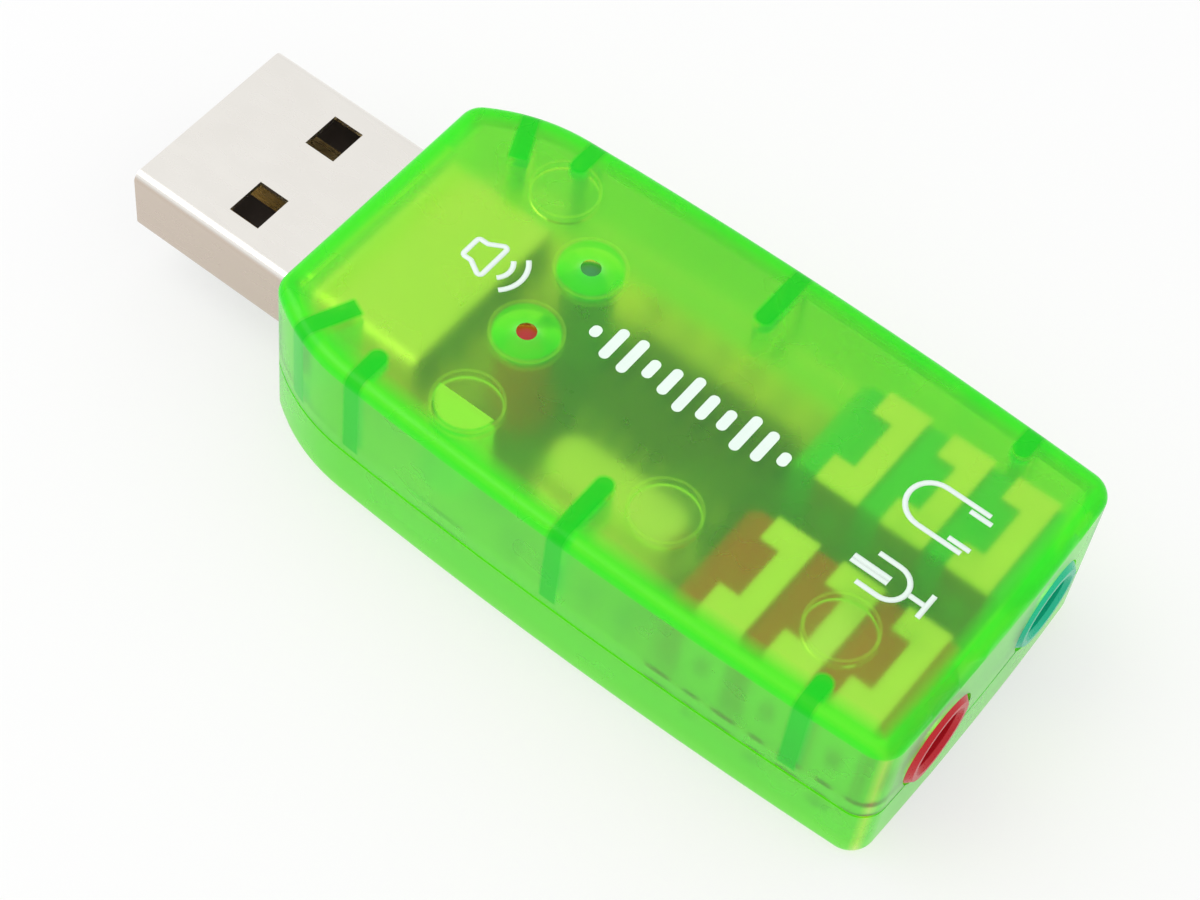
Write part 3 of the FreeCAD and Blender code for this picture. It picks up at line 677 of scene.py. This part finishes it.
def dome_tree(name, finish, rise):
    tree, inputs = tree_with(name, {"Lens radius": LENS_RADIUS, "Rise": rise})
    radius = inputs["Lens radius"]
    sphere = {"Segments": 40, "Rings": 24, "Radius": radius}
    ball = add_node(tree, "GeometryNodeMeshUVSphere", sphere)
    position = tree.nodes.new("GeometryNodeInputPosition").outputs[0]
    height = add_node(tree, "ShaderNodeSeparateXYZ", {0: position}).outputs[2]
    wall = math_node(tree, "SUBTRACT", inputs["Rise"], radius)
    tall = add_node(tree, "GeometryNodeSetPosition", {
        "Geometry": ball.outputs["Mesh"],
        "Selection": math_node(tree, "GREATER_THAN", height, -EQUATOR_SLACK),
        "Offset": add_node(tree, "ShaderNodeCombineXYZ", {2: wall}).outputs[0],
    })
    put = add_node(tree, "GeometryNodeInstanceOnPoints", {
        "Points": inputs["Geometry"],
        "Instance": tall.outputs[0],
    })
    return end_tree(tree, put.outputs[0], finish)


# %% Domes on the lamps
for color, finish in (("red", red_lens), ("green", green_lens)):
    lamp = f"{color}_lamp"
    lens_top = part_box(lamp)[1][2]
    foot = (middle_of(lamp, 0), middle_of(lamp, 1), lens_top)
    rise = LID_TOP - TIP_BELOW_LID - lens_top
    tree = dome_tree(f"{color}_dome_tree", finish, rise)
    dome = made_by(tree, f"{color}_lamp_dome", loose_points(f"{color}_foot", [foot]))
    for face in dome.data.polygons:
        face.use_smooth = True
    print("rise", round(rise / MM, 2), "mm")

# %% [markdown]
# ## Printed signs
# The lid carries white screen-printed signs: a headset and a microphone beside their sockets, and a
# speaker by the plug. They are lines of one width, so each is drawn as a curve, and a tree rounds
# its corners and sweeps a flat ink section along it. The signs are of a plain design of their own,
# and so are the sound bars along the middle.

# %% Ink
INK_THICKNESS = 0.02 * MM
INK_HEIGHT = LID_TOP - 0.005 * MM
INK_CLOUD = 1500.0

ink = Finish("white_ink")
ink_cloud = ink.noise(INK_CLOUD)
ink.color(ink.blend(ink_cloud, (0.82, 0.93, 0.86, 1), (0.74, 0.88, 0.79, 1)))
ink.roughness(ink.spread(ink_cloud, 0.4, 0.6))

# %% Line tree
LINE_WIDTH = 0.3 * MM
BEND_RADIUS, BEND_STEPS = 0.18 * MM, 6


def line_tree():
    sizes = {"Line width": LINE_WIDTH, "Ink thickness": INK_THICKNESS}
    tree, inputs = tree_with("printed_lines", sizes)
    section = add_node(tree, "GeometryNodeCurvePrimitiveQuadrilateral", {
        "Width": inputs["Line width"],
        "Height": inputs["Ink thickness"],
    })
    bends = add_node(tree, "GeometryNodeFilletCurve", mode="POLY", inputs={
        "Curve": inputs["Geometry"],
        "Count": BEND_STEPS,
        "Radius": BEND_RADIUS,
        "Limit Radius": True,
    })
    curve = {"Curve": bends.outputs[0]}
    upright = add_node(tree, "GeometryNodeSetCurveNormal", curve, mode="Z_UP")
    sweep = add_node(tree, "GeometryNodeCurveToMesh", {
        "Curve": upright.outputs[0],
        "Profile Curve": section.outputs[0],
        "Fill Caps": True,
    })
    return end_tree(tree, sweep.outputs[0], ink)


# %% Drawing strokes
def drawn(name, strokes):
    """A curve of straight-jointed strokes, given in millimetres on the lid."""
    curve = bpy.data.curves.new(name, "CURVE")
    curve.dimensions = "3D"
    for stroke in strokes:
        spline = curve.splines.new("POLY")
        spline.use_cyclic_u = stroke[0] == stroke[-1]
        corners = stroke[:-1] if spline.use_cyclic_u else stroke
        spline.points.add(len(corners) - 1)
        for point, (x, y) in zip(spline.points, corners):
            point.co = (x * MM, y * MM, INK_HEIGHT, 1.0)
    return curve


def arc(cx, cy, radius, start, stop, steps=14):
    """Points round part of a circle, with angles in degrees."""
    turn = [math.radians(start + (stop - start) * i / steps) for i in range(steps + 1)]
    return [(cx + radius * math.cos(a), cy + radius * math.sin(a)) for a in turn]


# %% Headset, microphone and speaker signs
headset = [
    [(22.0, 4.35)] + arc(19.4, 2.95, 1.4, 90, 270) + [(22.0, 1.55)],
    [(21.0, 3.95), (22.3, 3.95)],
    [(21.0, 1.95), (22.3, 1.95)],
]
microphone = [
    [(18.9, -1.05)] + arc(20.2, -2.1, 1.05, 90, -90) + [(18.9, -3.15)],
    [(21.4, -2.1), (22.25, -2.1)],
    [(22.4, -2.9), (22.4, -1.3)],
    [(18.0, -1.95), (20.2, -1.95)],
    [(18.0, -2.25), (20.2, -2.25)],
]
speaker = [
    [(-8.2, -0.4), (-7.6, -0.4), (-6.6, -1.0), (-6.6, 1.6), (-7.6, 1.0), (-8.2, 1.0), (-8.2, -0.4)],
    arc(-6.6, 0.3, 1.0, -45, 45),
    arc(-6.6, 0.3, 1.8, -45, 45),
]
made_by(line_tree(), "printed_signs", drawn("signs", headset + microphone + speaker))

# %% [markdown]
# ## Sound bars
# A row of upright bars of rising and falling height is a common sign for sound. The bars stand at
# even steps, and a sine of the bar's number sets each one's height, so a tree makes the whole row.
# Each bar is a filled outline with round ends. It is lifted by the ink's thickness and closed below.

# %% Sound bar tree
BAR_WIDTH, BAR_TALLEST, BAR_TURN = 0.6 * MM, 2.6 * MM, 0.95
BAR_SWING, BAR_LEAST = 0.7, 0.3
# A little under half the width, so that the round ends leave a short straight edge.
BAR_END_SHARE = 0.495
MERGE_DISTANCE = 0.002 * MM


def bar_outlines(tree, inputs):
    """A rectangle with round ends on each point."""
    index = tree.nodes.new("GeometryNodeInputIndex").outputs[0]
    wave = math_node(tree, "SINE", math_node(tree, "MULTIPLY", index, inputs["Turn"]))
    swing = math_node(tree, "MULTIPLY", math_node(tree, "ABSOLUTE", wave), BAR_SWING)
    share = math_node(tree, "ADD", swing, BAR_LEAST)
    height = math_node(tree, "MULTIPLY", share, inputs["Tallest"])
    unit = {"Width": 1.0, "Height": 1.0}
    square = add_node(tree, "GeometryNodeCurvePrimitiveQuadrilateral", unit)
    scale = add_node(tree, "ShaderNodeCombineXYZ", {0: inputs["Bar width"], 1: height, 2: 1.0})
    put = add_node(tree, "GeometryNodeInstanceOnPoints", {
        "Points": inputs["Geometry"],
        "Instance": square.outputs[0],
        "Scale": scale.outputs[0],
    })
    real = add_node(tree, "GeometryNodeRealizeInstances", {0: put.outputs[0]})
    rounded = add_node(tree, "GeometryNodeFilletCurve", mode="POLY", inputs={
        "Count": BEND_STEPS,
        "Radius": math_node(tree, "MULTIPLY", inputs["Bar width"], BAR_END_SHARE),
        "Curve": real.outputs[0],
    })
    return rounded.outputs[0]


def bar_tree():
    sizes = {"Bar width": BAR_WIDTH, "Tallest": BAR_TALLEST, "Turn": BAR_TURN}
    tree, inputs = tree_with("sound_bars", sizes)
    outlines = {"Curve": bar_outlines(tree, inputs)}
    flat = add_node(tree, "GeometryNodeFillCurve", outlines, mode="NGONS").outputs[0]
    thick = {"Mesh": flat, "Offset Scale": INK_THICKNESS, "Individual": False}
    lifted = add_node(tree, "GeometryNodeExtrudeMesh", thick).outputs["Mesh"]
    under = add_node(tree, "GeometryNodeFlipFaces", {"Mesh": flat}).outputs[0]
    both = add_node(tree, "GeometryNodeJoinGeometry", {0: lifted})
    tree.links.new(under, both.inputs[0])
    merge = {"Geometry": both.outputs[0], "Distance": MERGE_DISTANCE}
    closed = add_node(tree, "GeometryNodeMergeByDistance", merge).outputs[0]
    up = {"Geometry": closed, "Translation": (0.0, 0.0, INK_HEIGHT - INK_THICKNESS / 2)}
    return end_tree(tree, add_node(tree, "GeometryNodeTransform", up).outputs[0], ink)


# %% Sound bars on the lid
BAR_COUNT = 11
BAR_START, BAR_STEP, BAR_ROW = 0.1, 1.2, 0.3

bar_points = [((BAR_START + i * BAR_STEP) * MM, BAR_ROW * MM, 0.0) for i in range(BAR_COUNT)]
made_by(bar_tree(), "sound_bars", loose_points("bar_points", bar_points))

# %% [markdown]
# ## Floor and light
# The adapter lies on a white table in a pale room, with one soft lamp. The floor is a little under
# white, so that it still takes the adapter's shadow, and towards the camera it blends with a plain
# white. Metal and clear plastic have to see that white too, so reflected and bent rays are treated
# alike. The floor lies a hair above the case's lowest face, so that two faces never share one plane,
# and light passes from the plastic to the floor as it does where the two touch.

# %% Floor
FLOOR_REACH = 0.6
FLOOR_HEIGHT = 0.02 * MM
FLOOR_CLOUD = 60.0
WHITE_SHARE = 0.6

floor_mesh = bpy.data.meshes.new("floor")
signs = ((-1, -1), (1, -1), (1, 1), (-1, 1))
corners = [(x * FLOOR_REACH, y * FLOOR_REACH, FLOOR_HEIGHT) for x, y in signs]
floor_mesh.from_pydata(corners, [], [(0, 1, 2, 3)])
floor = bpy.data.objects.new("floor", floor_mesh)
bpy.context.collection.objects.link(floor)
paper = Finish("paper_floor")
paper.color(paper.blend(paper.noise(FLOOR_CLOUD), (0.90, 0.90, 0.90, 1), (0.88, 0.88, 0.88, 1)))
paper.set(Roughness=0.9)
plain_white = paper.add("Emission", {"Color": WHITE, "Strength": 1.0}).outputs[0]
ray = paper.add("LightPath").outputs
seen = paper.math("MAXIMUM", ray["Is Camera Ray"], ray["Is Glossy Ray"])
seen = paper.math("MAXIMUM", seen, ray["Is Transmission Ray"])
share = paper.math("MULTIPLY", seen, WHITE_SHARE)
paper.show(paper.mixed(share, paper.shader.outputs[0], plain_white))
floor_mesh.materials.append(paper.material)
print("floor", 2 * FLOOR_REACH, "m across")

# %% Light
LAMP_PLACE = Vector((-0.25, -0.10, 0.40))
LAMP_SIZE, LAMP_POWER = 0.30, 0.55
ROOM_LIGHT = 0.92

lamp_data = bpy.data.lights.new("lamp_left", "AREA")
lamp_data.size = LAMP_SIZE
lamp_data.energy = LAMP_POWER
soft_lamp = bpy.data.objects.new("lamp_left", lamp_data)
soft_lamp.location = LAMP_PLACE
soft_lamp.rotation_euler = (-LAMP_PLACE).to_track_quat("-Z", "Y").to_euler()
bpy.context.collection.objects.link(soft_lamp)
world = bpy.data.worlds.new("studio")
bpy.context.scene.world = world
world.use_nodes = True
room = world.node_tree.nodes["Background"].inputs
room["Color"].default_value = WHITE
room["Strength"].default_value = ROOM_LIGHT
bpy.context.scene.view_settings.view_transform = "Standard"
print("one soft lamp and a pale room")

# %% [markdown]
# ## Camera
# The photograph looks down at the adapter from beside it, a little towards the jacks, with a slight
# roll. The numbers below put this camera at the same angle and distance.

# %% Camera
TURN, RISE, ROLL = math.radians(31.0), math.radians(55.5), math.radians(8.32)
AIM = Vector((0.575, 0.0, 5.0)) * MM
DISTANCE = 152.1 * MM
SENSOR_WIDTH, FOCAL_LENGTH = 36.0, 86.07
SHIFT_X, SHIFT_Y = 0.0084, -0.0372
NEAR_LIMIT = 0.01

flat = math.cos(RISE)
back = Vector((math.sin(TURN) * flat, -math.cos(TURN) * flat, math.sin(RISE)))
level = Vector((math.cos(TURN), math.sin(TURN), 0.0))
steep = back.cross(level)
right = math.cos(ROLL) * level + math.sin(ROLL) * steep
up = back.cross(right)
lens = bpy.data.cameras.new("camera")
lens.sensor_width = SENSOR_WIDTH
lens.lens = FOCAL_LENGTH
lens.shift_x = SHIFT_X
lens.shift_y = SHIFT_Y
lens.clip_start = NEAR_LIMIT
camera = bpy.data.objects.new("camera", lens)
turned = Matrix((right, up, back)).transposed().to_4x4()
camera.matrix_world = Matrix.Translation(AIM + back * DISTANCE) @ turned
bpy.context.collection.objects.link(camera)
bpy.context.scene.camera = camera
print("camera", DISTANCE, "m from its aim")
